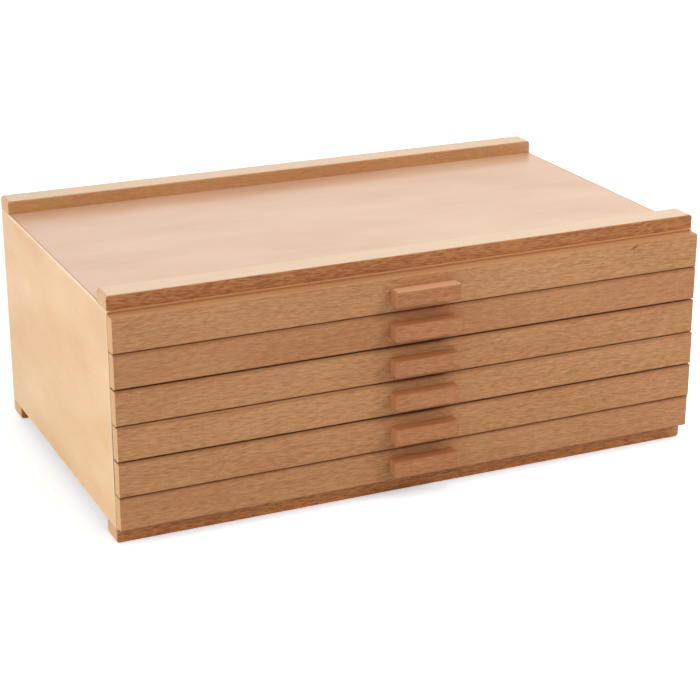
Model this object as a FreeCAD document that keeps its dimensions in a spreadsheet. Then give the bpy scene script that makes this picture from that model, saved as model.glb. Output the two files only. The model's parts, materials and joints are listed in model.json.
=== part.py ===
import FreeCAD, Part
import os

import Sketcher

# Wooden drawer box for sticks of pastel: a beech and plywood cabinet with six shallow drawers.
# Millimetres, +Z up, drawers opening towards -Y, origin on the floor under the middle of the whole
# box, handles included. Every piece is an object of its own, sized from the sheet "sizes".

DRAWERS = 6

# Driving dimensions in mm: alias, value, what it is.
SIZES = [
    ("width", 394.0, "cabinet and drawer fronts, side to side"),
    ("depth", 229.5, "cabinet, front edge to back"),
    ("pitch", 22.3, "from one drawer to the next"),
    ("side_thick", 9.0, "side panels"),
    ("panel_thick", 3.0, "top and bottom panels"),
    ("side_lip", 2.0, "side panel wood left outside the top and bottom panels"),
    ("side_ease", 0.5, "radius on a side panel's outer edges"),
    ("back_thick", 3.0, "cabinet back"),
    ("back_seat", 4.0, "how far the cabinet back is let into the sides"),
    ("rail_deep", 17.5, "rails, front to back"),
    ("rail_high", 8.9, "rails, bottom to top"),
    ("rail_corner", 2.2, "radius on a rail's two outer corners, seen from the front"),
    ("rail_round", 1.0, "radius on a rail's outer edges"),
    ("top_reveal", 2.2, "edge left bare over the first drawer front"),
    ("base_reveal", 0.95, "allowance under the last drawer front"),
    ("runner_high", 4.0, "runner strips, bottom to top"),
    ("runner_out", 4.0, "how far a runner stands out of the side panel"),
    ("runner_seat", 1.5, "how far a runner is let into the side panel"),
    ("runner_start", 6.0, "from the cabinet's front edge to a runner"),
    ("runner_end", 4.0, "from a runner to the cabinet back"),
    ("runner_clear", 0.25, "clearance of a drawer's groove round its runner"),
    ("front_thick", 7.6, "drawer fronts"),
    ("front_inset", 0.3, "drawer front short of the cabinet's side, each end"),
    ("front_ease", 0.8, "radius round a drawer front's face"),
    ("wall", 8.0, "drawer sides and drawer back"),
    ("box_gap", 1.0, "clearance between a drawer and the cabinet, each side"),
    ("box_clear", 0.6, "clearance over the first drawer and under the last"),
    ("box_short", 4.0, "from a closed drawer's rear end to the cabinet back"),
    ("back_inset", 3.0, "drawer back in from the rear ends of the drawer sides"),
    ("let_in", 3.0, "depth of the grooves that join a drawer together"),
    ("groove_rise", 7.0, "runner groove over the lower edge of a drawer side"),
    ("bottom_thick", 2.5, "drawer bottom"),
    ("bottom_rise", 1.0, "drawer bottom over the lower edge of the drawer sides"),
    ("foam_thick", 3.0, "foam liner"),
    ("foam_gap", 0.5, "foam liner to the drawer's walls"),
    ("handle_long", 44.0, "handle, side to side"),
    ("handle_high", 10.6, "handle, bottom to top"),
    ("handle_deep", 9.0, "handle, standing out of the front"),
    ("handle_rise", 4.6, "handle over the lower edge of its front"),
    ("handle_ease", 1.5, "radius on a handle's outer edges"),
    ("screw_apart", 26.0, "between the two handle screws"),
    ("screw_long", 14.0, "handle screws"),
    ("screw_wide", 3.0, "handle screw shank"),
    ("screw_head", 6.2, "handle screw head"),
    ("screw_point", 2.0, "length of the screw's point"),
    ("screw_fit", 0.05, "clearance of a screw in its hole, all round"),
    ("slot_wide", 1.0, "driver slot in the screw head"),
    ("slot_deep", 0.8, "driver slot in the screw head"),
]

# Seam under each drawer front, and the gap that each closed front leaves to the cabinet, top first.
SEAMS = [0.7, 1.2, 0.7, 1.2, 0.7, 1.4]
CLOSING_GAPS = [0.3, 0.3, 0.3, 1.2, 1.1, 0.3]

doc = FreeCAD.newDocument("pastel_drawer_box")


def make_sheet():
    """Writes the driving dimensions into the sheet, one row each: name, value, note."""
    sheet = doc.addObject("Spreadsheet::Sheet", "sizes")
    rows = list(SIZES)
    for number, (seam, gap) in enumerate(zip(SEAMS, CLOSING_GAPS), start=1):
        rows.append((f"seam_{number}", seam, f"seam under front {number}"))
        rows.append((f"closing_gap_{number}", gap, f"closed front {number} to the cabinet"))
    for row, (alias, value, note) in enumerate(rows, start=1):
        sheet.set(f"A{row}", alias)
        sheet.set(f"B{row}", str(value))
        sheet.setAlias(f"B{row}", alias)
        sheet.set(f"C{row}", note)
    doc.recompute()
    return sheet


sizes = make_sheet()

# Lengths that follow from the sheet, as expressions.
CARCASS_HIGH = f"(sizes.top_reveal + {DRAWERS} * sizes.pitch + sizes.base_reveal)"
CARCASS_TOP = f"(sizes.rail_high + {CARCASS_HIGH})"
INNER_WIDE = "(sizes.width - 2 * sizes.side_thick)"
WIDEST_GAP = "max(" + "; ".join(f"sizes.closing_gap_{n}" for n in range(1, DRAWERS + 1)) + ")"
STANDS_OUT = f"({WIDEST_GAP} + sizes.front_thick + sizes.handle_deep)"
CABINET_FRONT = f"(({STANDS_OUT} - sizes.depth) / 2)"
CABINET_BACK = f"({CABINET_FRONT} + sizes.depth)"
BACK_FACE = f"({CABINET_BACK} - sizes.back_thick)"
RUNNER_LONG = "(sizes.depth - sizes.back_thick - sizes.runner_start - sizes.runner_end)"
BOX_WIDE = f"({INNER_WIDE} - 2 * sizes.box_gap)"
BOX_HIGH = ("(sizes.pitch + sizes.top_reveal + sizes.base_reveal"
            " - 2 * (sizes.panel_thick + sizes.box_clear))")
BOX_LONG = "(sizes.depth - sizes.back_thick - sizes.box_short)"
TRAY_WIDE = f"({BOX_WIDE} - 2 * sizes.wall)"
TRAY_LONG = f"({BOX_LONG} - sizes.back_inset - sizes.wall)"
GROOVE_HIGH = "(sizes.runner_high + 2 * sizes.runner_clear)"
GROOVE_DEEP = "(sizes.runner_out - sizes.box_gap + sizes.runner_clear)"
GROOVE_TOP = f"(sizes.groove_rise + {GROOVE_HIGH})"
BOTTOM_TOP = "(sizes.bottom_rise + sizes.bottom_thick)"
HOLE_WIDE = "(sizes.screw_wide + 2 * sizes.screw_fit)"
PILOT_DEEP = "(sizes.screw_long - sizes.front_thick + sizes.screw_fit)"
HEAD_DEEP = "((sizes.screw_head - sizes.screw_wide) / 2)"


def box_z(number):
    """Lower edge of a drawer's box, counted from the top drawer."""
    steps = DRAWERS - number
    return f"(sizes.rail_high + sizes.panel_thick + sizes.box_clear + {steps} * sizes.pitch)"


def front_z(number):
    """Lower edge of a drawer's front."""
    steps = DRAWERS - number
    return f"(sizes.rail_high + sizes.base_reveal + {steps} * sizes.pitch + sizes.seam_{number})"


def front_y(number):
    """Back face of a closed drawer's front."""
    return f"({CABINET_FRONT} - sizes.closing_gap_{number})"


def value_of(expression):
    """What an expression comes to with the sheet as it is."""
    return float(sizes.evalExpression(expression))


def bind(item, **expressions):
    """Binds properties of an object to expressions."""
    for name, expression in expressions.items():
        item.setExpression(name, expression)


def place(item, x="0", y="0", z="0"):
    """Binds an object's place to expressions."""
    for axis, expression in zip("xyz", (x, y, z)):
        item.setExpression(f"Placement.Base.{axis}", expression)
    return item


def block(label, size, at):
    """A plain rectangular board, from its low corner."""
    board = doc.addObject("Part::Box", label)
    bind(board, Length=size[0], Width=size[1], Height=size[2])
    return place(board, *at)


def mirrored(source, label):
    """The same piece for the other side of the box."""
    mirror = doc.addObject("Part::Mirroring", label)
    mirror.Source = source
    mirror.Normal = FreeCAD.Vector(1, 0, 0)
    return mirror


def new_body(label):
    return doc.addObject("PartDesign::Body", label)


def origin_item(body, role):
    return next(item for item in body.Origin.OriginFeatures if item.Role == role)


def sketch_on(body, role, offset="0"):
    """An empty sketch on one of the body's own origin planes."""
    sketch = body.newObject("Sketcher::SketchObject", f"{body.Name}_sketch")
    sketch.AttachmentSupport = (origin_item(body, role), [""])
    sketch.MapMode = "FlatFace"
    sketch.setExpression("AttachmentOffset.Base.z", offset)
    return sketch


def pin_point(sketch, line, point):
    """Holds a line's start at a place in the sketch, given as two expressions."""
    for kind, axis, expression in (("DistanceX", -2, point[0]), ("DistanceY", -1, point[1])):
        if expression == "0":
            sketch.addConstraint(Sketcher.Constraint("PointOnObject", line, 1, axis))
            continue
        value = value_of(expression)
        index = sketch.addConstraint(Sketcher.Constraint(kind, -1, 1, line, 1, value))
        sketch.setExpression(f"Constraints[{index}]", expression)


def add_outline(sketch, points):
    """Draws a closed outline through points whose coordinates are expressions."""
    corners = [FreeCAD.Vector(value_of(across), value_of(up), 0) for across, up in points]
    first = sketch.GeometryCount
    count = len(corners)
    for i, corner in enumerate(corners):
        sketch.addGeometry(Part.LineSegment(corner, corners[(i + 1) % count]), False)
    for i in range(count):
        sketch.addConstraint(Sketcher.Constraint("Coincident", first + i, 2, first + (i + 1) % count, 1))
        pin_point(sketch, first + i, points[i])


def add_rectangle(sketch, low, high):
    add_outline(sketch, [low, (high[0], low[1]), high, (low[0], high[1])])


def add_circle(sketch, centre, diameter):
    """Draws a circle at a place and diameter given as expressions."""
    middle = FreeCAD.Vector(value_of(centre[0]), value_of(centre[1]), 0)
    radius = value_of(diameter) / 2
    circle = sketch.addGeometry(Part.Circle(middle, FreeCAD.Vector(0, 0, 1), radius), False)
    for kind, expression in (("DistanceX", centre[0]), ("DistanceY", centre[1])):
        value = value_of(expression)
        index = sketch.addConstraint(Sketcher.Constraint(kind, -1, 1, circle, 3, value))
        sketch.setExpression(f"Constraints[{index}]", expression)
    index = sketch.addConstraint(Sketcher.Constraint("Diameter", circle, 2 * radius))
    sketch.setExpression(f"Constraints[{index}]", diameter)


def pad(body, sketch, length, reversed_way=False, midplane=False):
    """Raises a sketch's outline into wood."""
    feature = body.newObject("PartDesign::Pad", f"{body.Name}_pad")
    feature.Profile = sketch
    feature.Reversed = reversed_way
    feature.Midplane = midplane
    bind(feature, Length=length)
    doc.recompute()


def pocket(body, sketch, length, reversed_way=False):
    """Cuts a sketch's outlines into the body, and makes sure that wood was removed."""
    before = body.Shape.Volume
    feature = body.newObject("PartDesign::Pocket", f"{body.Name}_pocket")
    feature.Profile = sketch
    feature.Reversed = reversed_way
    bind(feature, Length=length)
    doc.recompute()
    if body.Shape.Volume >= before:
        raise RuntimeError(f"{feature.Name} cuts nothing")
    return feature


def repeat(body, features, role, length, count):
    """Repeats features along one of the body's axes, over a length."""
    pattern = body.newObject("PartDesign::LinearPattern", f"{body.Name}_pattern")
    pattern.Originals = features
    pattern.Direction = (origin_item(body, role), [""])
    pattern.Occurrences = count
    bind(pattern, Length=length)
    body.Tip = pattern
    doc.recompute()


def ease(body, radius, wanted):
    """Rounds the edges whose box of corners satisfies a test."""
    base = body.Tip
    names = [f"Edge{i}" for i, edge in enumerate(base.Shape.Edges, start=1) if wanted(edge.BoundBox)]
    fillet = body.newObject("PartDesign::Fillet", f"{body.Name}_fillet")
    fillet.Base = (base, names)
    bind(fillet, Radius=radius)
    doc.recompute()


def near(value, target):
    return abs(value - target) < 1e-4


def make_side_panel():
    """Left side: a board rebated for the top, bottom and back, with a shallow seat for each runner."""
    body = new_body("left_side_panel")
    outline = sketch_on(body, "XZ_Plane")
    inner_top = f"({CARCASS_HIGH} - sizes.panel_thick)"
    add_outline(outline, [
        ("0", "0"), ("sizes.side_lip", "0"),
        ("sizes.side_lip", "sizes.panel_thick"), ("sizes.side_thick", "sizes.panel_thick"),
        ("sizes.side_thick", inner_top), ("sizes.side_lip", inner_top),
        ("sizes.side_lip", CARCASS_HIGH), ("0", CARCASS_HIGH),
    ])
    pad(body, outline, "sizes.depth", reversed_way=True)
    ease(body, "sizes.side_ease", lambda box: near(box.XMax, 0) and not near(box.YMax, 0))

    rebate = sketch_on(body, "XY_Plane")
    add_rectangle(rebate, ("sizes.side_thick - sizes.back_seat", "sizes.depth - sizes.back_thick"),
                  ("sizes.side_thick", "sizes.depth"))
    pocket(body, rebate, CARCASS_HIGH, reversed_way=True)

    seat = sketch_on(body, "YZ_Plane", offset="sizes.side_thick")
    low = "(sizes.panel_thick + sizes.box_clear + sizes.groove_rise + sizes.runner_clear)"
    add_rectangle(seat, ("sizes.runner_start", low),
                  (f"sizes.runner_start + {RUNNER_LONG}", f"{low} + sizes.runner_high"))
    cut = pocket(body, seat, "sizes.runner_seat")
    repeat(body, [cut], "Z_Axis", f"{DRAWERS - 1} * sizes.pitch", DRAWERS)
    return place(body, "-sizes.width / 2", CABINET_FRONT, "sizes.rail_high")


def make_panels():
    """Top and bottom boards in the sides' rebates, and the back between them."""
    wide = "sizes.width - 2 * sizes.side_lip"
    left = "-sizes.width / 2 + sizes.side_lip"
    bottom = block("bottom_panel", (wide, "sizes.depth", "sizes.panel_thick"),
                   (left, CABINET_FRONT, "sizes.rail_high"))
    top = block("top_panel", (wide, "sizes.depth", "sizes.panel_thick"),
                (left, CABINET_FRONT, f"{CARCASS_TOP} - sizes.panel_thick"))
    back = block("back_panel",
                 (f"{INNER_WIDE} + 2 * sizes.back_seat", "sizes.back_thick",
                  f"{CARCASS_HIGH} - 2 * sizes.panel_thick"),
                 (f"-{INNER_WIDE} / 2 - sizes.back_seat", BACK_FACE, "sizes.rail_high + sizes.panel_thick"))
    return [bottom, top, back]


def make_rail(label, y, z, glued_on_top):
    """A rail across the box, rounded everywhere but at the face glued to the cabinet."""
    body = new_body(label)
    section = sketch_on(body, "YZ_Plane")
    add_rectangle(section, ("0", "0"), ("sizes.rail_deep", "sizes.rail_high"))
    pad(body, section, "sizes.width", midplane=True)
    glued = sizes.rail_high if glued_on_top else 0.0

    def free(box):
        return not (near(box.ZMin, glued) and near(box.ZMax, glued))

    ease(body, "sizes.rail_corner", lambda box: box.YLength > 1 and free(box))
    ease(body, "sizes.rail_round", lambda box: box.YLength < 1 and free(box))
    return place(body, "0", y, z)


def make_rails():
    rear = f"{CABINET_BACK} - sizes.rail_deep"
    return [
        make_rail("front_base_rail", CABINET_FRONT, "0", True),
        make_rail("rear_base_rail", rear, "0", True),
        make_rail("front_top_rail", CABINET_FRONT, CARCASS_TOP, False),
        make_rail("rear_top_rail", rear, CARCASS_TOP, False),
    ]


def make_runners():
    """The left side's six strips, one for each drawer."""
    strips = []
    for number in range(1, DRAWERS + 1):
        at = (f"-{INNER_WIDE} / 2 - sizes.runner_seat", f"{CABINET_FRONT} + sizes.runner_start",
              f"{box_z(number)} + sizes.groove_rise + sizes.runner_clear")
        size = ("sizes.runner_seat + sizes.runner_out", RUNNER_LONG, "sizes.runner_high")
        strips.append(block(f"runner_strip_{number}", size, at))
    runners = doc.addObject("Part::Compound", "left_runners")
    runners.Links = strips
    return runners


def make_front(number):
    """A drawer front, grooved behind for the box and drilled for the handle's screws."""
    body = new_body(f"drawer_{number}_front")
    half = "(sizes.width / 2 - sizes.front_inset)"
    face = sketch_on(body, "XZ_Plane")
    add_rectangle(face, (f"-{half}", "0"), (half, f"sizes.pitch - sizes.seam_{number}"))
    pad(body, face, "sizes.front_thick")
    outer = -sizes.front_thick
    ease(body, "sizes.front_ease", lambda box: near(box.YMin, outer) and near(box.YMax, outer))

    low = f"({box_z(number)} - {front_z(number)})"
    grooves = sketch_on(body, "XZ_Plane")
    for left, right in ((f"-{BOX_WIDE} / 2", f"-{TRAY_WIDE} / 2"), (f"{TRAY_WIDE} / 2", f"{BOX_WIDE} / 2")):
        add_rectangle(grooves, (left, low), (right, f"{low} + {BOX_HIGH}"))
    pocket(body, grooves, "sizes.let_in", reversed_way=True)
    slit = sketch_on(body, "XZ_Plane")
    add_rectangle(slit, (f"-{TRAY_WIDE} / 2", f"{low} + sizes.bottom_rise"),
                  (f"{TRAY_WIDE} / 2", f"{low} + {BOTTOM_TOP}"))
    pocket(body, slit, "sizes.let_in", reversed_way=True)
    countersink(body)
    return place(body, "0", front_y(number), front_z(number))


def countersink(body):
    """Two through holes, countersunk from behind for flush screw heads."""
    before = body.Shape.Volume
    centres = sketch_on(body, "XZ_Plane")
    for side in ("-", ""):
        add_circle(centres, (f"{side}sizes.screw_apart / 2", "sizes.handle_rise + sizes.handle_high / 2"),
                   HOLE_WIDE)
    doc.recompute()
    hole = body.newObject("PartDesign::Hole", f"{body.Name}_hole")
    hole.Profile = centres
    hole.Reversed = True
    hole.ThreadType = "None"
    hole.DepthType = "ThroughAll"
    hole.HoleCutType = "Countersink"
    hole.HoleCutCustomValues = True
    hole.HoleCutCountersinkAngle = 90
    bind(hole, Diameter=HOLE_WIDE, HoleCutDiameter="sizes.screw_head + 2 * sizes.screw_fit")
    doc.recompute()
    if body.Shape.Volume >= before:
        raise RuntimeError(f"{hole.Name} cuts nothing")


def make_handle(number):
    """A small block handle with two pilot holes in its glued face."""
    body = new_body(f"drawer_{number}_handle")
    half = "sizes.handle_long / 2"
    face = sketch_on(body, "XZ_Plane")
    add_rectangle(face, (f"-{half}", "0"), (half, "sizes.handle_high"))
    pad(body, face, "sizes.handle_deep")
    ease(body, "sizes.handle_ease", lambda box: not (near(box.YMin, 0) and near(box.YMax, 0)))
    pilots = sketch_on(body, "XZ_Plane")
    for side in ("-", ""):
        add_circle(pilots, (f"{side}sizes.screw_apart / 2", "sizes.handle_high / 2"), HOLE_WIDE)
    pocket(body, pilots, PILOT_DEEP, reversed_way=True)
    return place(body, "0", f"{front_y(number)} - sizes.front_thick",
                 f"{front_z(number)} + sizes.handle_rise")


def make_screws(number):
    """Two countersunk wood screws, driven from inside the drawer into the handle."""
    body = new_body(f"drawer_{number}_screws")
    neck = "sizes.screw_wide / 2"
    outline = sketch_on(body, "XY_Plane")
    add_outline(outline, [
        ("0", "0"), ("sizes.screw_head / 2", "0"), (neck, f"-{HEAD_DEEP}"),
        (neck, "-(sizes.screw_long - sizes.screw_point)"), ("0", "-sizes.screw_long"),
    ])
    turned = body.newObject("PartDesign::Revolution", f"{body.Name}_turned")
    turned.Profile = outline
    turned.ReferenceAxis = (origin_item(body, "Y_Axis"), [""])
    turned.Angle = 360
    doc.recompute()
    slot = sketch_on(body, "XZ_Plane")
    add_rectangle(slot, ("-sizes.slot_wide / 2", "-sizes.screw_head"),
                  ("sizes.slot_wide / 2", "sizes.screw_head"))
    cut = pocket(body, slot, "sizes.slot_deep", reversed_way=True)
    repeat(body, [turned, cut], "X_Axis", "sizes.screw_apart", 2)
    return place(body, "-sizes.screw_apart / 2", front_y(number),
                 f"{front_z(number)} + sizes.handle_rise + sizes.handle_high / 2")


def make_drawer_side(number):
    """Left side of a drawer: grooved outside for the runner, inside for the bottom and the back."""
    body = new_body(f"drawer_{number}_left_side")
    section = sketch_on(body, "XZ_Plane")
    slit = "(sizes.wall - sizes.let_in)"
    add_outline(section, [
        ("0", "0"), ("sizes.wall", "0"),
        ("sizes.wall", "sizes.bottom_rise"), (slit, "sizes.bottom_rise"),
        (slit, BOTTOM_TOP), ("sizes.wall", BOTTOM_TOP),
        ("sizes.wall", BOX_HIGH), ("0", BOX_HIGH),
        ("0", GROOVE_TOP), (GROOVE_DEEP, GROOVE_TOP),
        (GROOVE_DEEP, "sizes.groove_rise"), ("0", "sizes.groove_rise"),
    ])
    pad(body, section, f"{BOX_LONG} + sizes.let_in", reversed_way=True)
    housing = sketch_on(body, "XY_Plane")
    start = f"(sizes.let_in + {TRAY_LONG})"
    add_rectangle(housing, (slit, start), ("sizes.wall", f"{start} + sizes.wall"))
    pocket(body, housing, BOX_HIGH, reversed_way=True)
    return place(body, f"-{BOX_WIDE} / 2", f"{front_y(number)} - sizes.let_in", box_z(number))


def make_drawer_back(number):
    """Back of a drawer, let into both sides and grooved for the bottom."""
    body = new_body(f"drawer_{number}_back")
    section = sketch_on(body, "YZ_Plane")
    add_outline(section, [
        ("0", "0"), ("sizes.wall", "0"), ("sizes.wall", BOX_HIGH), ("0", BOX_HIGH),
        ("0", BOTTOM_TOP), ("sizes.let_in", BOTTOM_TOP),
        ("sizes.let_in", "sizes.bottom_rise"), ("0", "sizes.bottom_rise"),
    ])
    pad(body, section, f"{TRAY_WIDE} + 2 * sizes.let_in", midplane=True)
    return place(body, "0", f"{front_y(number)} + {TRAY_LONG}", box_z(number))


def make_drawer(number):
    """Every piece of one drawer."""
    left_side = make_drawer_side(number)
    bottom_wide = f"{TRAY_WIDE} + 2 * sizes.let_in"
    bottom_long = f"{TRAY_LONG} + 2 * sizes.let_in"
    bottom = block(f"drawer_{number}_bottom", (bottom_wide, bottom_long, "sizes.bottom_thick"),
                   (f"-({bottom_wide}) / 2", f"{front_y(number)} - sizes.let_in",
                    f"{box_z(number)} + sizes.bottom_rise"))
    foam_wide = f"{TRAY_WIDE} - 2 * sizes.foam_gap"
    foam_long = f"{TRAY_LONG} - 2 * sizes.foam_gap"
    foam = block(f"drawer_{number}_foam_liner", (foam_wide, foam_long, "sizes.foam_thick"),
                 (f"-({foam_wide}) / 2", f"{front_y(number)} + sizes.foam_gap",
                  f"{box_z(number)} + {BOTTOM_TOP}"))
    return [make_front(number), make_handle(number), make_screws(number), left_side,
            mirrored(left_side, f"drawer_{number}_right_side"), make_drawer_back(number), bottom, foam]


def make_cabinet():
    """Every piece of the cabinet."""
    left_panel = make_side_panel()
    left_runners = make_runners()
    return [left_panel, mirrored(left_panel, "right_side_panel"), *make_panels(), *make_rails(),
            left_runners, mirrored(left_runners, "right_runners")]


def check(pieces):
    """Stops if any object failed or any piece has no sound shape."""
    failed = [item.Name for item in doc.Objects if {"Invalid", "Error"} & set(item.State)]
    unsound = [piece.Label for piece in pieces if piece.Shape.isNull() or not piece.Shape.isValid()]
    if failed or unsound:
        raise RuntimeError(f"failed: {failed}, unsound: {unsound}")


def main():
    pieces = make_cabinet()
    for number in range(1, DRAWERS + 1):
        pieces += make_drawer(number)
    doc.recompute()
    check(pieces)
    os.makedirs("parts", exist_ok=True)
    for piece in pieces:
        piece.Shape.exportStep(f"parts/{piece.Label}.step")
        box = piece.Shape.BoundBox
        print(f"{piece.Label:24s} solids {len(piece.Shape.Solids)} volume {piece.Shape.Volume:11.1f}"
              f" low {box.XMin:8.2f} {box.YMin:8.2f} {box.ZMin:7.2f}"
              f" high {box.XMax:8.2f} {box.YMax:8.2f} {box.ZMax:7.2f}")


main()
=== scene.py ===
"""Finishes the pastel drawer box: wood, plywood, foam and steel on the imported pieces, and a studio stage."""

import json
import math

import bmesh
import bpy
from mathutils import Matrix, Quaternion, Vector, noise

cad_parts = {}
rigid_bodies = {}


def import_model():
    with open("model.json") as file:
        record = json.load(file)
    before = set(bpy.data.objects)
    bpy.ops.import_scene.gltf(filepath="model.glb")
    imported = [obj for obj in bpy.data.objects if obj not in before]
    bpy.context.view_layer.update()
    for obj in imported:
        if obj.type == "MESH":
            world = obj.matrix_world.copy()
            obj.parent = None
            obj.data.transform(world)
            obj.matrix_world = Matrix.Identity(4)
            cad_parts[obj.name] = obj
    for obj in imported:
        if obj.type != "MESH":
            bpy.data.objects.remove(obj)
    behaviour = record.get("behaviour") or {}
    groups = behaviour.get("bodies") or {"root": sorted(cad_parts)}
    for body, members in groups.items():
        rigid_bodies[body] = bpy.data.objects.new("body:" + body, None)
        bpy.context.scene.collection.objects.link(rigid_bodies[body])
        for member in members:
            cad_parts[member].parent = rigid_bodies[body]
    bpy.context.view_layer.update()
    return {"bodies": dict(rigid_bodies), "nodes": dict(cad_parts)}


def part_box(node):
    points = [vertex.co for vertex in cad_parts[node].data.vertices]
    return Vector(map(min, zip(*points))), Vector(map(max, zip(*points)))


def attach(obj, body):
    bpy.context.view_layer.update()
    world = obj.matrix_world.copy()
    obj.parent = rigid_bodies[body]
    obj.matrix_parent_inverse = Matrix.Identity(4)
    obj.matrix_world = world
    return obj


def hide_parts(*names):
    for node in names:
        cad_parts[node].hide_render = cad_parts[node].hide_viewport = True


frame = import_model()

bl_info = {
    "name": "Pastel Drawer Box",
    "version": (1, 0, 0),
    "blender": (4, 5, 0),
    "location": "View3D > Sidebar > Drawer Box",
    "description": "Finishes for a beech and plywood drawer box, its foam liners and a studio stage",
    "category": "Object",
}

DRAWERS = sorted(name for name in frame["bodies"] if name.startswith("drawer_"))
MM = 0.001

# The first piece of each group takes this seed, and the next pieces count on from it.
SEEDS = {"sides": 3, "top": 7, "bottom": 11, "back": 13, "rails": 21, "rear_rail": 25, "runners": 31,
         "fronts": 41, "handles": 61, "drawer_boards": 80, "drawer_bottoms": 120}
FRONT_SEED_STEP, HANDLE_SEED_STEP, BOARD_SEED_STEP = 3, 2, 5

# Cells of each pattern in the wood, per millimetre: along the grain, then across it both ways.
WANDER_STRETCH = (0.009, 0.03, 0.03)
STREAK_STRETCH = (0.02, 0.5, 0.5)
DASH_STRETCH = (0.18, 1.5, 1.5)
FINE_STRETCH = (0.5, 2.6, 2.6)
CLOUD_STRETCH = (0.011, 0.026, 0.026)
PATCH_STRETCH = (0.03, 0.11, 0.11)
FLECK_STRETCH = (0.3, 2.1, 2.1)

# Millimetres from one seed's wood to the next, that the grain wanders, from the board to the heart of
# the tree, and from one growth ring to the next. A cloud shifts the rings by up to RING_SHIFT rings.
SEED_SHIFT = (37.0, 11.0, 23.0)
WANDER = 12.0
HEART_Y, HEART_Z = 60.0, 25.0
RING_STEP = 4.2
RING_SHIFT = 2.5

# The tone that the patterns swing about, the share of cells with no fleck, and the tints of the hue.
MIDDLE_TONE = 0.45
FLECKLESS = 0.55
RED_TINT = (1.0, 0.93, 0.96)
OLIVE_TINT = (0.98, 1.0, 0.91)

# Plies are counted from a board's lower side. An even number more keeps a wavy count above zero.
PLY_WAVER = 0.16
PLIES_MORE = 20.0

# Widths of darker edges, painted edge highlights, painted seam shade and the knot; the height the bump shows.
EDGE_WIDTH = 1.2 * MM
HIGHLIGHT_WIDTH = 1.3 * MM
SEAM_START, SEAM_END, SEAM_SHADE = 0.3 * MM, 2.1 * MM, 0.45
KNOT_CORE, KNOT_RIM = 0.6 * MM, 4.2 * MM
KNOT_LEAN = 0.35
KNOT_FLATNESS = 3.0
WOOD_RELIEF = 0.2 * MM
FOAM_RELIEF = 0.3 * MM

# Turning marks on the screws, in cells per millimetre.
TURNED_STRETCH = (4.0, 0.6, 4.0)

# Waves on top of a liner, per metre, and how near to a cut a corner counts as lying on it.
LINER_WAVES = 40.0
CUT_REACH = 1e-7

# Half the floor's side, where its glow starts and ends, and the point that every lamp faces.
FLOOR_HALF = 20.0
FLOOR_NEAR, FLOOR_FAR = 0.5, 1.6
LAMP_AIM = Vector((0, 0, 0.08))


# ---------------------------------------------------------------- settings


def srgb(red, green, blue):
    """A linear colour from the 0 to 255 values that a screen shows."""
    return tuple(((c / 255 + 0.055) / 1.055) ** 2.4 for c in (red, green, blue))


def colour(name, description, default):
    """A setting that holds a linear colour."""
    return bpy.props.FloatVectorProperty(
        name=name, description=description, default=default, size=3, min=0, max=1, subtype="COLOR")


def length(name, description, default):
    """A setting that holds a length in metres."""
    return bpy.props.FloatProperty(
        name=name, description=description, default=default, min=0, unit="LENGTH", subtype="DISTANCE")


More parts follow.
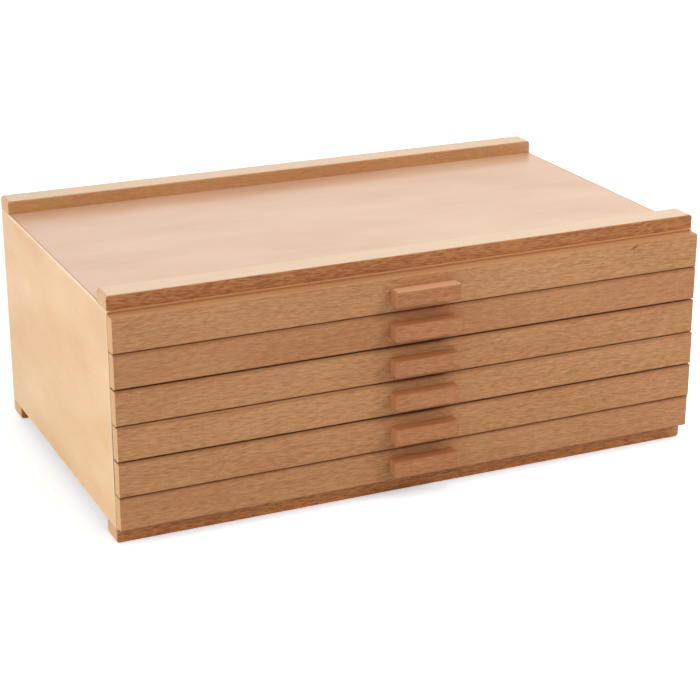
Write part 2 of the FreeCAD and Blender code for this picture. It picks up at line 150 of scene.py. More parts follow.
class WoodSettings(bpy.types.PropertyGroup):
    """Colours of the solid beech and the plywood, and of the light, sheen and shade painted on them."""

    front_pale: colour("Front pale", "Lightest wood of the drawer fronts", srgb(196, 147, 102))
    front_deep: colour("Front deep", "Darkest wood of the drawer fronts", srgb(163, 111, 69))
    front_red: colour("Front red", "What the redder fronts lean towards", srgb(167, 106, 71))
    # Painted shade colour, laid on each lower front's upper edge band and underside, where the seams are in
    # shade.
    front_painted_shade: colour("Front seam", "Dark wood at a front's upper edge and underside", srgb(118, 55, 12))
    front_redness: bpy.props.FloatVectorProperty(
        name="Redness of each front", description="How far each front leans to the red, top first",
        default=(0.05, 0.55, 0.2, 0.0, 0.15, 0.3), size=6, min=0, max=1)
    rail_pale: colour("Rail pale", "Lightest wood of the rails", srgb(196, 130, 69))
    rail_deep: colour("Rail deep", "Darkest wood of the rails", srgb(151, 85, 37))
    # Painted sheen: a pale colour over the top rails' upper faces, standing in for the sheen on them.
    rail_painted_sheen: colour("Rail top", "Pale upper face of the two top rails", srgb(202, 170, 134))
    # The front top rail is a darker wood; the two base rails are made paler, painted light against their
    # shade.
    rail_tones_and_painted_light: bpy.props.FloatVectorProperty(
        name="Rail tones", description="Brightness of the front top, front base and rear base rails",
        default=(0.87, 1.16, 1.16), size=3, min=0, max=2)
    rear_pale: colour("Rear rail pale", "Lightest wood of the rear rail", srgb(194, 144, 98))
    rear_deep: colour("Rear rail deep", "Darkest wood of the rear rail", srgb(171, 120, 75))
    handle_pale: colour("Handle pale", "Lightest wood of the handles", srgb(187, 127, 84))
    handle_deep: colour("Handle deep", "Darkest wood of the handles", srgb(156, 95, 57))
    # Painted light: a paler colour over the top handle's upper face, standing in for the light on it.
    handle_painted_light: colour("Handle top", "Paler upper face of the top handle", srgb(200, 151, 111))
    box_pale: colour("Box pale", "Lightest wood of the drawer boxes and runners", srgb(226, 194, 154))
    box_deep: colour("Box deep", "Darkest wood of the drawer boxes and runners", srgb(196, 156, 114))
    side_pale: colour("Side pale", "Lightest veneer of the side panels", srgb(247, 211, 165))
    side_deep: colour("Side deep", "Darkest veneer of the side panels", srgb(226, 172, 116))
    # Painted highlight: a pale band along the side panels' edges, where light catches them.
    side_painted_highlight: colour("Side lip", "Pale eased edges of the side panels", srgb(255, 236, 202))
    top_pale: colour("Top pale", "Lightest veneer of the top panel", srgb(207, 171, 143))
    top_deep: colour("Top deep", "Darkest veneer of the top panel", srgb(184, 141, 107))
    inner_pale: colour("Inner pale", "Lightest veneer of the hidden panels", srgb(229, 198, 162))
    inner_deep: colour("Inner deep", "Darkest veneer of the hidden panels", srgb(211, 173, 136))
    # The sawn ends' cream colour is paler than beech end grain: painted light, standing in for the lit end
    # faces.
    end: colour("End grain", "Sawn ends of the fronts and the rails", srgb(227, 181, 129))
    knot: bpy.props.FloatVectorProperty(
        name="Pin knot", description="Place of the small dark knot in the top drawer's front", size=3,
        default=(0.1495, -0.113, 0.141), subtype="TRANSLATION", unit="LENGTH")
    fleck: colour("Fleck", "Short dark rays and the pin knot of the beech", srgb(135, 77, 44))
    ply_pale: colour("Long plies", "Edge of the plies that run along the panel", srgb(206, 150, 101))
    ply_deep: colour("Cross plies", "Edge of the plies that run across the panel", srgb(168, 115, 70))
    glue: colour("Glue line", "Dark line between two plies", srgb(143, 95, 57))
    ply: length("Ply", "Thickness of one ply of the panels", 1.0 * MM)


class SteelSettings(bpy.types.PropertyGroup):
    """The zinc on the handle screws."""

    pale: colour("Steel pale", "Lightest zinc", srgb(196, 194, 188))
    deep: colour("Steel deep", "Darkest zinc", srgb(150, 148, 144))


class FoamSettings(bpy.types.PropertyGroup):
    """The foam liners of the drawers."""

    tint: colour("Foam", "Colour of the foam", srgb(222, 221, 214))
    shade: colour("Foam pores", "Colour inside the pores", srgb(178, 176, 168))
    edge: length("Edge radius", "Softness of the liner's edges", 1.0 * MM)
    dimple: length("Dimple", "How far the top of the liner rises and falls", 0.25 * MM)
    cell: length("Cell", "Size of the mesh's cells over the liner", 5.0 * MM)


class StageSettings(bpy.types.PropertyGroup):
    """Camera, lamps and floor."""

    camera_place: bpy.props.FloatVectorProperty(
        name="Camera place", description="Where the camera stands", size=3,
        default=(-0.49277, -1.09132, 0.50196), subtype="TRANSLATION", unit="LENGTH")
    camera_turn: bpy.props.FloatVectorProperty(
        name="Camera turn", description="The camera's azimuth, elevation and roll", size=3,
        default=tuple(math.radians(a) for a in (-24.4214, 20.4193, -0.029)), subtype="EULER", unit="ROTATION")
    lens: bpy.props.FloatProperty(
        name="Lens", description="Focal length on a 36 mm sensor", default=98.177, min=1, unit="CAMERA")
    floor: colour("Floor", "Colour of the floor", (0.79, 0.835, 0.89))
    ambient: bpy.props.FloatProperty(
        name="Ambient", description="Strength of the even light from all round", default=0.46, min=0)
    key_power: bpy.props.FloatProperty(
        name="Key lamp", description="Power of the wide lamp overhead", default=6.2, min=0, unit="POWER")
    right_power: bpy.props.FloatProperty(
        name="Right lamp", description="Power of the lamp at the right", default=6.7, min=0, unit="POWER")
    left_power: bpy.props.FloatProperty(
        name="Left lamp", description="Power of the lamp on the left", default=8.3, min=0, unit="POWER")
    back_power: bpy.props.FloatProperty(
        name="Back lamp", description="Power of the lamp behind", default=7.0, min=0, unit="POWER")


# ---------------------------------------------------------------- shader nodes


class Bench:
    """Adds nodes to one tree and links them."""

    def __init__(self, tree):
        self.tree = tree

    def feed(self, socket, value):
        """Links a socket, or sets its own value."""
        if isinstance(value, bpy.types.NodeSocket):
            self.tree.links.new(value, socket)
        elif socket.type == "RGBA" and len(value) == 3:
            socket.default_value = (*value, 1)
        else:
            socket.default_value = value

    def add(self, kind, inputs=None, **settings):
        """A node of a kind, with its settings and with what feeds its inputs."""
        node = self.tree.nodes.new(kind)
        for name, value in settings.items():
            setattr(node, name, value)
        for key, value in (inputs or {}).items():
            self.feed(node.inputs[key], value)
        return node

    def math(self, operation, *values, clamp=False):
        """The result of one operation on numbers."""
        node = self.add("ShaderNodeMath", dict(enumerate(values)), operation=operation, use_clamp=clamp)
        return node.outputs[0]

    def vector(self, operation, *values):
        """The result of one operation on vectors: a number for a length or a dot product, else a vector."""
        node = self.add("ShaderNodeVectorMath", dict(enumerate(values)), operation=operation)
        return node.outputs["Value" if operation in ("LENGTH", "DOT_PRODUCT") else "Vector"]

    def split(self, vector):
        """The three numbers of a vector."""
        return self.add("ShaderNodeSeparateXYZ", {0: vector}).outputs

    def join(self, x, y, z):
        """A vector from three numbers."""
        return self.add("ShaderNodeCombineXYZ", {0: x, 1: y, 2: z}).outputs[0]

    def millimetres(self, vector):
        """A place in metres, given in millimetres."""
        return self.vector("MULTIPLY", vector, (1 / MM,) * 3)

    def noise(self, vector, stretch, detail=2.0, roughness=0.5):
        """Noise with `stretch` cells per unit of length on each axis."""
        place = self.vector("MULTIPLY", vector, stretch)
        node = self.add("ShaderNodeTexNoise", {"Vector": place, "Scale": 1.0, "Detail": detail,
                                               "Roughness": roughness})
        return node.outputs["Fac"]

    def spread(self, value, low, high, to_low=0.0, to_high=1.0):
        """Maps a range smoothly onto another and keeps it there."""
        node = self.add("ShaderNodeMapRange", {0: value, 1: low, 2: high, 3: to_low, 4: to_high},
                        interpolation_type="SMOOTHSTEP")
        return node.outputs[0]

    def mix(self, amount, first, second, blend="MIX"):
        """The first colour with an amount of the second over it."""
        node = self.add("ShaderNodeMix", data_type="RGBA", blend_type=blend)
        colours = [socket for socket in node.inputs if socket.type == "RGBA"]
        self.feed(node.inputs[0], amount)
        self.feed(colours[0], first)
        self.feed(colours[1], second)
        return next(socket for socket in node.outputs if socket.type == "RGBA")

    def group(self, tree, inputs):
        """The outputs of a shader group that is fed with inputs."""
        return self.add("ShaderNodeGroup", inputs, node_tree=tree).outputs


def new_group(name, inputs, outputs):
    """An empty shader group with named sockets: its bench, its inputs and its output node."""
    tree = bpy.data.node_groups.new(name, "ShaderNodeTree")
    for way, sockets in (("INPUT", inputs), ("OUTPUT", outputs)):
        for socket_name, kind in sockets:
            tree.interface.new_socket(socket_name, in_out=way, socket_type=f"NodeSocket{kind}")
    bench = Bench(tree)
    return bench, bench.add("NodeGroupInput").outputs, bench.add("NodeGroupOutput").inputs


def wood_grain():
    """Wood whose grain runs along X: growth rings, long streaks, short dashes, flecks and clouds of hue."""
    name = "Wood Grain"
    if name in bpy.data.node_groups:
        return bpy.data.node_groups[name]
    bench, given, out = new_group(
        name,
        [("Vector", "Vector"), ("Pale", "Color"), ("Deep", "Color"), ("Fleck", "Color"), ("Seed", "Float"),
         ("Streaks", "Float"), ("Dashes", "Float"), ("Rings", "Float"), ("Flecks", "Float"),
         ("Clouds", "Float"), ("Hue", "Float")],
        [("Color", "Color"), ("Height", "Float"), ("Roughness", "Float")])
    shifted = bench.vector("MULTIPLY", bench.join(given["Seed"], given["Seed"], given["Seed"]), SEED_SHIFT)
    place = bench.vector("ADD", bench.millimetres(given["Vector"]), shifted)
    bend = bench.math("SUBTRACT", bench.noise(place, WANDER_STRETCH), 0.5)
    wander = bench.math("MULTIPLY", bend, WANDER)
    place = bench.vector("ADD", place, bench.join(0.0, wander, wander))

    streak = bench.noise(place, STREAK_STRETCH, detail=4.0, roughness=0.6)
    dash = bench.noise(place, DASH_STRETCH)
    fine = bench.noise(place, FINE_STRETCH)
    cloud = bench.noise(place, CLOUD_STRETCH)
    _, y, z = bench.split(place)
    radius = bench.math("SQRT", bench.math("ADD", bench.math("POWER", bench.math("ADD", y, HEART_Y), 2.0),
                                           bench.math("POWER", bench.math("ADD", z, HEART_Z), 2.0)))
    turns = bench.math("ADD", bench.math("DIVIDE", radius, RING_STEP),
                       bench.math("MULTIPLY", cloud, RING_SHIFT))
    ring = bench.math("POWER", bench.math("FRACT", turns), 3.0)

    cells = bench.add("ShaderNodeTexVoronoi", {"Vector": bench.vector("MULTIPLY", place, FLECK_STRETCH),
                                               "Scale": 1.0})
    chosen = bench.math("GREATER_THAN", bench.split(cells.outputs["Color"])[0], FLECKLESS)
    fleck = bench.math("MULTIPLY", bench.spread(cells.outputs["Distance"], 0.42, 0.12), chosen)

    tone = MIDDLE_TONE
    patterns = ((streak, 0.5, "Streaks"), (dash, 0.5, "Dashes"), (ring, 0.25, "Rings"),
                (cloud, 0.5, "Clouds"))
    for pattern, middle, strength in patterns:
        swing = bench.math("SUBTRACT", pattern, middle)
        tone = bench.math("ADD", bench.math("MULTIPLY", swing, given[strength]), tone)
    wood = bench.mix(bench.math("ADD", tone, 0.0, clamp=True), given["Pale"], given["Deep"])
    wood = bench.mix(bench.math("MULTIPLY", fleck, given["Flecks"]), wood, given["Fleck"])
    patch = bench.noise(place, PATCH_STRETCH, detail=1.0)
    tint = bench.mix(bench.spread(patch, 0.3, 0.7), RED_TINT, OLIVE_TINT)
    bench.feed(out["Color"], bench.mix(given["Hue"], wood, tint, blend="MULTIPLY"))
    # Fine grain and dashes stand up and flecks lie lower, and the streaks differ in roughness.
    height = bench.math("ADD", bench.math("MULTIPLY", fine, 0.25), bench.math("MULTIPLY", dash, 0.3))
    bench.feed(out["Height"], bench.math("SUBTRACT", height, bench.math("MULTIPLY", fleck, 0.4)))
    bench.feed(out["Roughness"], bench.math("MULTIPLY", bench.math("SUBTRACT", streak, 0.5), 0.2))
    return bench.tree


def ply_edge():
    """Plywood edge: plies across the board's thickness, seen where the surface isn't its broad face."""
    name = "Ply Edge"
    if name in bpy.data.node_groups:
        return bpy.data.node_groups[name]
    bench, given, out = new_group(
        name,
        [("Vector", "Vector"), ("Normal", "Vector"), ("Across", "Vector"), ("Start", "Float"),
         ("Ply", "Float"), ("Pale", "Color"), ("Deep", "Color"), ("Glue", "Color")],
        [("Color", "Color"), ("Mask", "Float"), ("Height", "Float")])
    across = bench.vector("DOT_PRODUCT", given["Vector"], given["Across"])
    depth = bench.math("DIVIDE", bench.math("SUBTRACT", across, given["Start"]), given["Ply"])
    place = bench.millimetres(given["Vector"])
    wavy = bench.noise(place, (0.08, 0.08, 0.08))
    depth = bench.math("ADD", depth, bench.math("MULTIPLY", bench.math("SUBTRACT", wavy, 0.5), PLY_WAVER))
    pair = bench.math("MODULO", bench.math("ADD", depth, PLIES_MORE), 2.0)
    crossing = bench.math("GREATER_THAN", pair, 1.0)
    end = bench.noise(place, (1.4, 1.4, 1.4), detail=3.0)
    body = bench.mix(bench.math("MULTIPLY", crossing, 0.75), given["Pale"], given["Deep"])
    body = bench.mix(bench.math("MULTIPLY", bench.spread(end, 0.45, 0.75), 0.35), body, given["Glue"])
    beside = bench.math("ABSOLUTE", bench.math("SUBTRACT", bench.math("FRACT", depth), 0.5))
    line = bench.spread(beside, 0.44, 0.49)
    bench.feed(out["Color"], bench.mix(bench.math("MULTIPLY", line, 0.6), body, given["Glue"]))
    facing = bench.math("ABSOLUTE", bench.vector("DOT_PRODUCT", given["Normal"], given["Across"]))
    bench.feed(out["Mask"], bench.spread(facing, 0.75, 0.45))
    bench.feed(out["Height"], bench.math("MULTIPLY", line, -0.6))
    return bench.tree


def end_grain():
    """Sawn end of a board: fine open pores, seen where the surface faces along the grain."""
    name = "End Grain"
    if name in bpy.data.node_groups:
        return bpy.data.node_groups[name]
    bench, given, out = new_group(
        name,
        [("Vector", "Vector"), ("Normal", "Vector"), ("Along", "Vector"), ("Pale", "Color"),
         ("Deep", "Color")],
        [("Color", "Color"), ("Mask", "Float")])
    pores = bench.noise(bench.millimetres(given["Vector"]), (1.8, 1.8, 1.8), detail=3.0)
    bench.feed(out["Color"], bench.mix(bench.spread(pores, 0.4, 0.75), given["Pale"], given["Deep"]))
    facing = bench.math("ABSOLUTE", bench.vector("DOT_PRODUCT", given["Normal"], given["Along"]))
    bench.feed(out["Mask"], bench.spread(facing, 0.35, 0.8))
    return bench.tree


def edge_band():
    """How near a point of a board is to one of the board's edges, from 0 to 1, over an uneven width."""
    name = "Edge Band"
    if name in bpy.data.node_groups:
        return bpy.data.node_groups[name]
    bench, given, out = new_group(
        name, [("Vector", "Vector"), ("Low", "Vector"), ("High", "Vector"), ("Width", "Float")],
        [("Mask", "Float")])
    inside = bench.vector("MINIMUM", bench.vector("SUBTRACT", given["Vector"], given["Low"]),
                          bench.vector("SUBTRACT", given["High"], given["Vector"]))
    x, y, z = bench.split(inside)
    small, large = bench.math("MINIMUM", x, y), bench.math("MAXIMUM", x, y)
    second = bench.math("MAXIMUM", small, bench.math("MINIMUM", large, z))
    uneven = bench.noise(bench.millimetres(given["Vector"]), (0.12, 0.12, 0.12))
    reach = bench.math("MULTIPLY", given["Width"], bench.math("ADD", uneven, 0.5))
    bench.feed(out["Mask"], bench.spread(bench.math("DIVIDE", second, reach), 1.0, 0.0))
    return bench.tree


def new_material(name):
    """A material with one Principled shader: its bench and that shader."""
    material = bpy.data.materials.new(name)
    material.use_nodes = True
    material.node_tree.nodes.clear()
    bench = Bench(material.node_tree)
    shader = bench.add("ShaderNodeBsdfPrincipled")
    bench.add("ShaderNodeOutputMaterial", {"Surface": shader.outputs[0]})
    return material, bench, shader


def unit(axis):
    """The unit vector of an axis given by its letter."""
    return Vector([1.0 if letter == axis else 0.0 for letter in "XYZ"])


def along(bench, axis):
    """Object coordinates turned so that the grain's axis is X."""
    place = bench.add("ShaderNodeTexCoord").outputs["Object"]
    x, y, z = bench.split(place)
    order = {"X": (x, y, z), "Y": (y, x, z), "Z": (z, y, x)}[axis]
    return place, bench.join(*order)


def finish_surface(bench, shader, wood_colour, height, gloss, shine, bump=0.12, uneven=None):
    """Lacquered wood: colour, a roughness that is even or follows the grain, and a shallow bump."""
    shader.inputs["Specular IOR Level"].default_value = shine
    bench.feed(shader.inputs["Base Color"], wood_colour)
    bench.feed(shader.inputs["Roughness"], bench.math("ADD", uneven, gloss) if uneven else gloss)
    relief = bench.add("ShaderNodeBump", {"Strength": bump, "Distance": WOOD_RELIEF, "Height": height})
    bench.feed(shader.inputs["Normal"], relief.outputs[0])


def knot_mask(bench, place, knot):
    """A small leaning oval round the pin knot, seen from the front."""
    x, _, z = bench.split(bench.vector("SUBTRACT", place, knot))
    across = bench.math("SUBTRACT", z, bench.math("MULTIPLY", x, KNOT_LEAN))
    oval = bench.join(x, 0.0, bench.math("MULTIPLY", across, KNOT_FLATNESS))
    return bench.spread(bench.vector("LENGTH", oval), KNOT_CORE, KNOT_RIM, to_low=0.95, to_high=0.0)


def painted_shade_mask(bench, place, lean_up, top):
    """Painted shade where a seam lies in shade: a board's underside, and a soft band down from its upper edge.
    """
    below = bench.math("SUBTRACT", top, bench.split(place)[2])
    band = bench.math("MULTIPLY", bench.spread(below, SEAM_START, SEAM_END, to_low=SEAM_SHADE, to_high=0.0),
                      bench.spread(lean_up, 0.8, 0.95, to_low=1.0, to_high=0.0))
    underside = bench.spread(lean_up, -0.6, -0.9)
    return bench.math("MAXIMUM", band, underside)


def solid_wood(node, pale, deep, end, seed, axis="X", contrast=1.0, gloss=0.5, shine=0.15, edge_wear_and_shade=0.15,
               face=None, knot=None, painted_seam_shade=None):
    """Beech for one piece: grain along an axis, calmer upper and lower faces, end grain, darker edges.

    A face colour is painted light and sheen over its upper and lower faces, a knot is a place for a pin knot,
    and a seam colour is painted shade over its upper edge and underside. The darker edges are wear, and
    where they are strong, as on the handles, painted shade.
    """
    woods = bpy.context.scene.drawer_box_woods
    material, bench, shader = new_material(node)
    place, grain_place = along(bench, axis)
    normal = bench.add("ShaderNodeTexCoord").outputs["Normal"]
    lean_up = bench.split(normal)[2]
    upright = bench.math("ABSOLUTE", lean_up)
    figure = bench.spread(upright, 0.5, 0.9, to_low=1.0, to_high=0.3)
    grain = bench.group(wood_grain(), {
        "Vector": grain_place, "Pale": pale, "Deep": deep, "Fleck": woods.fleck, "Seed": seed,
        "Streaks": 0.6 * contrast, "Dashes": bench.math("MULTIPLY", figure, 2.5 * contrast), "Rings": 0.15,
        "Flecks": bench.math("MULTIPLY", figure, 0.25 * contrast), "Clouds": 0.8,
        "Hue": bench.math("MULTIPLY", figure, 0.75)})
    low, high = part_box(node)
    band = bench.group(edge_band(), {"Vector": place, "Low": low, "High": high, "Width": EDGE_WIDTH})
    board = grain["Color"]
    # Painted light and sheen: a paler colour over the upper and lower faces.
    if face:
        board = bench.mix(bench.spread(upright, 0.6, 0.95, to_low=0.0, to_high=0.9), board, face)
    if knot:
        board = bench.mix(knot_mask(bench, place, knot), board, woods.fleck)
    # Painted shade: a darker colour over the upper edge band and the underside.
    if painted_seam_shade:
        board = bench.mix(painted_shade_mask(bench, place, lean_up, high.z), board, painted_seam_shade)
    # Darker edges: wear, and where strong, as on the handles, painted shade.
    edged = bench.mix(bench.math("MULTIPLY", band["Mask"], edge_wear_and_shade), board, deep)
    # End grain pores in the end colour; for the fronts and rails that colour's paleness is painted light.
    pores = bench.group(end_grain(), {
        "Vector": place, "Normal": normal, "Along": unit(axis), "Pale": end, "Deep": pale})
    surface = bench.mix(pores["Mask"], edged, pores["Color"])
    finish_surface(bench, shader, surface, grain["Height"], gloss, shine, uneven=grain["Roughness"])
    return material


def plywood(node, pale, deep, seed, grain_axis, thin_axis, gloss=0.4, shine=0.4, painted_edge_highlight=None):
    """Plywood for one panel: smooth veneer on its faces, plies on its edges and, if asked, a painted highlight
    along its edges.
    """
    woods = bpy.context.scene.drawer_box_woods
    material, bench, shader = new_material(node)
    place, grain_place = along(bench, grain_axis)
    grain = bench.group(wood_grain(), {
        "Vector": grain_place, "Pale": pale, "Deep": deep, "Fleck": deep, "Seed": seed,
        "Streaks": 0.3, "Dashes": 0.38, "Rings": 0.05, "Flecks": 0.06, "Clouds": 1.1, "Hue": 0.45})
    across = unit(thin_axis)
    low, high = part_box(node)
    edge = bench.group(ply_edge(), {
        "Vector": place, "Normal": bench.add("ShaderNodeTexCoord").outputs["Normal"], "Across": across,
        "Start": low.dot(across), "Ply": woods.ply, "Pale": woods.ply_pale,
        "Deep": woods.ply_deep, "Glue": woods.glue})
    surface = bench.mix(edge["Mask"], grain["Color"], edge["Color"])
    # Painted highlight: a pale band along the panel's edges.
    if painted_edge_highlight:
        band = bench.group(edge_band(), {"Vector": place, "Low": low, "High": high, "Width": HIGHLIGHT_WIDTH})
        surface = bench.mix(bench.math("MULTIPLY", band["Mask"], 0.8), surface, painted_edge_highlight)
    height = bench.math("ADD", bench.math("MULTIPLY", grain["Height"], 0.3),
                        bench.math("MULTIPLY", edge["Mask"], edge["Height"]))
    finish_surface(bench, shader, surface, height, gloss, shine, bump=0.02)
    return material


def dress(node, material):
    """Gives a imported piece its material, through the slots of its object."""
    slots = frame["nodes"][node].material_slots
    if not slots:
        raise RuntimeError(f"{node} has no material slot")
    for slot in slots:
        slot.material = material


# ---------------------------------------------------------------- pieces


class FinishPanels(bpy.types.Operator):
    """Veneers the cabinet's sides, top, bottom and back"""

    bl_idname = "drawer_box.finish_panels"
    bl_label = "Finish panels"

    def execute(self, context):
        woods = context.scene.drawer_box_woods
        for seed, node in enumerate(("left_side_panel", "right_side_panel"), start=SEEDS["sides"]):
            # The side panels get the painted edge highlight.
            dress(node, plywood(node, woods.side_pale, woods.side_deep, seed, "Y", "X",
                                painted_edge_highlight=tuple(woods.side_painted_highlight)))
        dress("top_panel", plywood("top_panel", woods.top_pale, woods.top_deep, SEEDS["top"], "X", "Z",
                                   gloss=0.28, shine=0.22))
        for panel, thin in (("bottom", "Z"), ("back", "Y")):
            node = f"{panel}_panel"
            dress(node, plywood(node, woods.inner_pale, woods.inner_deep, SEEDS[panel], "X", thin))
        return {"FINISHED"}


class FinishRails(bpy.types.Operator):
    """Gives the four rails their darker beech"""

    bl_idname = "drawer_box.finish_rails"
    bl_label = "Finish rails"

    def execute(self, context):
        woods = context.scene.drawer_box_woods
        rails = ("front_top_rail", "front_base_rail", "rear_base_rail")
        # Each rail takes its tone; the base rails' lift is painted light.
        for seed, (node, tone) in enumerate(zip(rails, woods.rail_tones_and_painted_light), start=SEEDS["rails"]):
            # The front top rail's upper face takes the painted sheen colour.
            face = tuple(woods.rail_painted_sheen) if node == "front_top_rail" else None
            dress(node, solid_wood(node, tone * Vector(woods.rail_pale), tone * Vector(woods.rail_deep),
                                   woods.end, seed, contrast=1.4, gloss=0.34, shine=0.4, face=face))
        # The rear top rail's upper face takes the painted sheen colour too.
        dress("rear_top_rail", solid_wood("rear_top_rail", woods.rear_pale, woods.rear_deep, woods.end,
                                          SEEDS["rear_rail"], contrast=0.8, gloss=0.42, shine=0.4,
                                          face=tuple(woods.rail_painted_sheen)))
        return {"FINISHED"}


class FinishRunners(bpy.types.Operator):
    """Gives the runner strips raw beech"""

    bl_idname = "drawer_box.finish_runners"
    bl_label = "Finish runners"

    def execute(self, context):
        woods = context.scene.drawer_box_woods
        for seed, node in enumerate(("left_runners", "right_runners"), start=SEEDS["runners"]):
            dress(node, solid_wood(node, woods.box_pale, woods.box_deep, woods.box_pale, seed,
                                   axis="Y", gloss=0.6))
        return {"FINISHED"}


class FinishFronts(bpy.types.Operator):
    """Gives each drawer front its own board of beech"""

    bl_idname = "drawer_box.finish_fronts"
    bl_label = "Finish drawer fronts"

    def execute(self, context):
        woods = context.scene.drawer_box_woods
        for number, (drawer, redness) in enumerate(zip(DRAWERS, woods.front_redness)):
            node = f"{drawer}_front"
            # The deep tone leans all the way to its redness, and the pale tone half as far.
            pale = Vector(woods.front_pale).lerp(Vector(woods.front_red), redness * 0.5)
            deep = Vector(woods.front_deep).lerp(Vector(woods.front_red), redness)
            knot = None if number else tuple(woods.knot)
            # Fronts below the first get painted shade on their upper edge band and underside.
            painted_seam_shade = tuple(woods.front_painted_shade) if number else None
            seed = SEEDS["fronts"] + FRONT_SEED_STEP * number
            dress(node, solid_wood(node, pale, deep, woods.end, seed, contrast=0.88, knot=knot, painted_seam_shade=painted_seam_shade))
        return {"FINISHED"}


class FinishHandles(bpy.types.Operator):
    """Gives each handle its own block of beech"""

    bl_idname = "drawer_box.finish_handles"
    bl_label = "Finish handles"

    def execute(self, context):
        woods = context.scene.drawer_box_woods
        for number, drawer in enumerate(DRAWERS):
            node = f"{drawer}_handle"
            # The top handle's upper and lower faces take the painted light colour.
            face = None if number else tuple(woods.handle_painted_light)
            seed = SEEDS["handles"] + HANDLE_SEED_STEP * number
            # Painted shade: the handles' edges are strongly darkened, dulling the highlight on their arrises.
            dress(node, solid_wood(node, woods.handle_pale, woods.handle_deep, woods.handle_pale, seed,
                                   gloss=0.42, shine=0.3, edge_wear_and_shade=0.85, face=face))
        return {"FINISHED"}


class FinishDrawerBoxes(bpy.types.Operator):
    """Gives the boards behind the drawer fronts raw beech, and their bottoms thin plywood"""

    bl_idname = "drawer_box.finish_drawer_boxes"
    bl_label = "Finish drawer boxes"

    def execute(self, context):
        woods = context.scene.drawer_box_woods
        boards = (("left_side", "Y"), ("right_side", "Y"), ("back", "X"))
        for number, drawer in enumerate(DRAWERS):
            first = SEEDS["drawer_boards"] + BOARD_SEED_STEP * number
            for seed, (board, axis) in enumerate(boards, start=first):
                node = f"{drawer}_{board}"
                dress(node, solid_wood(node, woods.box_pale, woods.box_deep, woods.box_pale, seed,
                                       axis=axis, gloss=0.55))
            node = f"{drawer}_bottom"
            seed = SEEDS["drawer_bottoms"] + number
            dress(node, plywood(node, woods.inner_pale, woods.inner_deep, seed, "X", "Z", gloss=0.55))
        return {"FINISHED"}


class FinishScrews(bpy.types.Operator):
    """Gives the handle screws bright steel"""

    bl_idname = "drawer_box.finish_screws"
    bl_label = "Finish screws"

    def execute(self, context):
        steel = context.scene.drawer_box_steel
        material, bench, shader = new_material("zinc_steel")
        place = bench.add("ShaderNodeTexCoord").outputs["Object"]
        turned = bench.noise(bench.millimetres(place), TURNED_STRETCH, detail=3.0)
        tone = bench.mix(turned, steel.pale, steel.deep)
        bench.feed(shader.inputs["Base Color"], tone)
        bench.feed(shader.inputs["Metallic"], 1.0)
        bench.feed(shader.inputs["Roughness"], bench.spread(turned, 0.2, 0.8, to_low=0.22, to_high=0.42))
        for drawer in DRAWERS:
            dress(f"{drawer}_screws", material)
        return {"FINISHED"}


def foam_material(foam):
    """Soft foam: fine open pores and a faint mottle."""
    material, bench, shader = new_material("foam")
    place = bench.millimetres(bench.add("ShaderNodeTexCoord").outputs["Object"])
    pores = bench.add("ShaderNodeTexVoronoi", {"Vector": place, "Scale": 1.6})
    pore = bench.spread(pores.outputs["Distance"], 0.5, 0.15)
    mottle = bench.noise(place, (0.05, 0.05, 0.05), detail=3.0)
    tone = bench.mix(bench.math("MULTIPLY", pore, 0.6), foam.tint, foam.shade)
    bench.feed(shader.inputs["Base Color"], bench.mix(bench.math("MULTIPLY", mottle, 0.25), tone, foam.shade))
    bench.feed(shader.inputs["Roughness"], bench.spread(mottle, 0.0, 1.0, to_low=0.85, to_high=0.95))
    relief = bench.add("ShaderNodeBump", {"Strength": 0.5, "Distance": FOAM_RELIEF,
                                          "Height": bench.math("SUBTRACT", 1.0, pore)})
    bench.feed(shader.inputs["Normal"], relief.outputs[0])
    return material


def make_liner(node, foam, seed):
    """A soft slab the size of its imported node: rounded edges and a gently uneven top."""
    low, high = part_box(node)
    size, middle = high - low, (high + low) / 2
    bm = bmesh.new()
    bmesh.ops.create_cube(bm, size=1.0, matrix=Matrix.Translation(middle) @ Matrix.Diagonal((*size, 1)))
    # The four edges that lie on the drawer's bottom stay sharp.
    rim = [edge for edge in bm.edges if max(v.co.z for v in edge.verts) > middle.z]
    bmesh.ops.bevel(bm, geom=rim, offset=foam.edge, segments=3, profile=0.5, affect="EDGES", material=-1)
    # Cuts both ways give the flat top enough corners to wave.
    for axis in range(2):
        normal = Vector((1 - axis, axis, 0))
        steps = int(size[axis] / foam.cell)
        for step in range(1, steps):
            cut = low + normal * (size[axis] * step / steps)
            bmesh.ops.bisect_plane(bm, geom=bm.verts[:] + bm.edges[:] + bm.faces[:], plane_co=cut,
                                   plane_no=normal, dist=CUT_REACH)
    for vert in bm.verts:
        if vert.co.z > high.z - foam.edge * 0.1:
            wave = noise.noise(vert.co * LINER_WAVES + Vector((0, 0, seed)))
            vert.co.z -= foam.dimple * (0.5 + 0.5 * wave)
    mesh = bpy.data.meshes.new(node)
    bm.to_mesh(mesh)
    bm.free()
    mesh.shade_smooth()
    liner = bpy.data.objects.new(f"{node}_soft", mesh)
    bpy.context.scene.collection.objects.link(liner)
    return liner


class AddFoamLiners(bpy.types.Operator):
    """Lays a soft foam liner in each drawer"""

    bl_idname = "drawer_box.add_foam_liners"
    bl_label = "Add foam liners"

    def execute(self, context):
        foam = context.scene.drawer_box_foam
        material = foam_material(foam)
        for seed, drawer in enumerate(DRAWERS):
            node = f"{drawer}_foam_liner"
            liner = make_liner(node, foam, seed)
            liner.data.materials.append(material)
            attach(liner, drawer)
            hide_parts(node)
        return {"FINISHED"}


# ---------------------------------------------------------------- stage


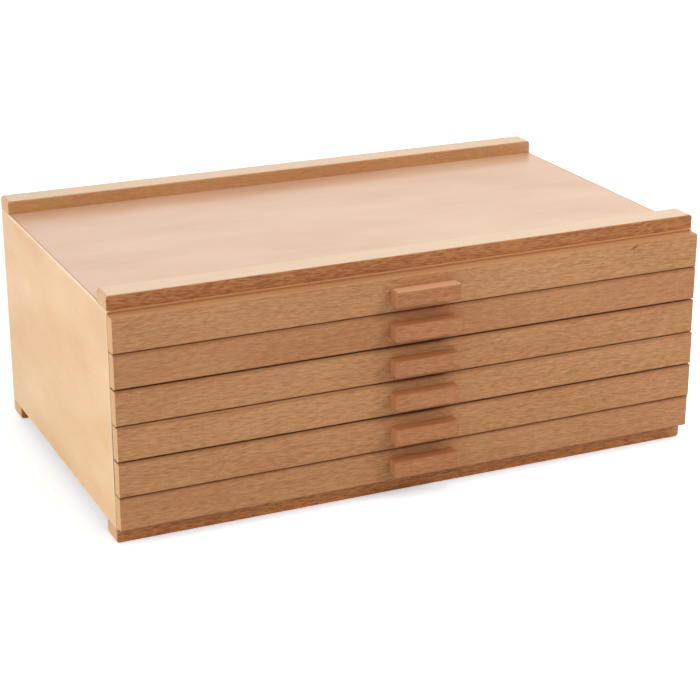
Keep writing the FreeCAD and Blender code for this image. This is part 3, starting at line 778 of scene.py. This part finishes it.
def add_camera(stage):
    """The camera, aimed by its azimuth, elevation and roll."""
    azimuth, elevation, roll = stage.camera_turn
    back = Vector((math.sin(azimuth) * math.cos(elevation), -math.cos(azimuth) * math.cos(elevation),
                   math.sin(elevation)))
    camera = bpy.data.objects.new("camera", bpy.data.cameras.new("camera"))
    camera.data.lens = stage.lens
    camera.location = stage.camera_place
    camera.rotation_mode = "QUATERNION"
    camera.rotation_quaternion = (-back).to_track_quat("-Z", "Y") @ Quaternion((0, 0, 1), roll)
    bpy.context.scene.collection.objects.link(camera)
    bpy.context.scene.camera = camera


def add_lamp(name, place, size, power, mirrored):
    """A square soft lamp that the camera doesn't see, and that gloss may mirror or not."""
    lamp = bpy.data.objects.new(name, bpy.data.lights.new(name, "AREA"))
    lamp.data.shape = "SQUARE"
    lamp.data.size = size
    lamp.data.energy = power
    lamp.location = place
    lamp.rotation_mode = "QUATERNION"
    lamp.rotation_quaternion = (LAMP_AIM - lamp.location).to_track_quat("-Z", "Y")
    lamp.visible_camera = False
    lamp.visible_glossy = mirrored
    bpy.context.scene.collection.objects.link(lamp)


def add_floor(stage):
    """A wide pale floor that keeps the shadow and looks white to the camera, more so further out."""
    mesh = bpy.data.meshes.new("floor")
    bm = bmesh.new()
    bmesh.ops.create_grid(bm, x_segments=1, y_segments=1, size=FLOOR_HALF)
    bm.to_mesh(mesh)
    bm.free()
    floor = bpy.data.objects.new("floor", mesh)
    bpy.context.scene.collection.objects.link(floor)
    material, bench, shader = new_material("floor")
    bench.feed(shader.inputs["Base Color"], stage.floor)
    bench.feed(shader.inputs["Roughness"], 0.8)
    bench.feed(shader.inputs["Emission Color"], (1, 1, 1))
    seen = bench.add("ShaderNodeLightPath").outputs["Is Camera Ray"]
    away = bench.vector("LENGTH", bench.add("ShaderNodeTexCoord").outputs["Object"])
    glow = bench.spread(away, FLOOR_NEAR, FLOOR_FAR, to_low=0.42, to_high=0.85)
    bench.feed(shader.inputs["Emission Strength"], bench.math("MULTIPLY", seen, glow))
    mesh.materials.append(material)


def light_world(stage):
    """Even light all round, white where the camera or a reflection sees it."""
    world = bpy.data.worlds.new("studio")
    world.use_nodes = True
    world.node_tree.nodes.clear()
    bench = Bench(world.node_tree)
    path = bench.add("ShaderNodeLightPath").outputs
    seen = bench.math("MAXIMUM", path["Is Camera Ray"], bench.math("MAXIMUM", path["Is Glossy Ray"],
                                                                  path["Is Transmission Ray"]))
    strength = bench.spread(seen, 0.0, 1.0, to_low=stage.ambient, to_high=1.0)
    sky = bench.add("ShaderNodeBackground", {"Color": (1, 1, 1), "Strength": strength})
    bench.add("ShaderNodeOutputWorld", {"Surface": sky.outputs[0]})
    bpy.context.scene.world = world


class SetStage(bpy.types.Operator):
    """Sets up the camera, the lamps, the world and the floor"""

    bl_idname = "drawer_box.set_stage"
    bl_label = "Set stage"

    def execute(self, context):
        stage = context.scene.drawer_box_stage
        add_camera(stage)
        add_floor(stage)
        light_world(stage)
        add_lamp("key_lamp", (0.2, -0.35, 1.3), size=1.1, power=stage.key_power, mirrored=True)
        add_lamp("right_lamp", (0.85, -0.8, 0.82), size=0.4, power=stage.right_power, mirrored=False)
        add_lamp("left_lamp", (-1.38, -0.2, 0.52), size=1.0, power=stage.left_power, mirrored=False)
        add_lamp("back_lamp", (0.6, 1.05, 1.1), size=1.4, power=stage.back_power, mirrored=True)
        context.scene.view_settings.view_transform = "Standard"
        return {"FINISHED"}


OPERATORS = (FinishPanels, FinishRails, FinishRunners, FinishFronts, FinishHandles, FinishDrawerBoxes,
             FinishScrews, AddFoamLiners, SetStage)
SETTINGS = {"drawer_box_woods": WoodSettings, "drawer_box_steel": SteelSettings,
            "drawer_box_foam": FoamSettings, "drawer_box_stage": StageSettings}


class DrawerBoxPanel(bpy.types.Panel):
    """Lists the steps that finish the drawer box, and their settings"""

    bl_idname = "VIEW3D_PT_drawer_box"
    bl_label = "Drawer Box"
    bl_space_type = "VIEW_3D"
    bl_region_type = "UI"
    bl_category = "Drawer Box"

    def draw(self, context):
        for operator in OPERATORS:
            self.layout.operator(operator.bl_idname)
        for group, kind in SETTINGS.items():
            for setting in kind.__annotations__:
                self.layout.prop(getattr(context.scene, group), setting)


def register():
    """Adds the classes and their settings to Blender."""
    for kind in (*SETTINGS.values(), *OPERATORS, DrawerBoxPanel):
        bpy.utils.register_class(kind)
    for name, kind in SETTINGS.items():
        setattr(bpy.types.Scene, name, bpy.props.PointerProperty(type=kind))


def unregister():
    """Takes the settings and the classes out of Blender."""
    for name in SETTINGS:
        delattr(bpy.types.Scene, name)
    for kind in (DrawerBoxPanel, *OPERATORS, *SETTINGS.values()):
        bpy.utils.unregister_class(kind)


def main():
    """Finishes every piece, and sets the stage."""
    register()
    for operator in OPERATORS:
        category, name = operator.bl_idname.split(".")
        getattr(getattr(bpy.ops, category), name)()


if __name__ == "__main__":
    main()
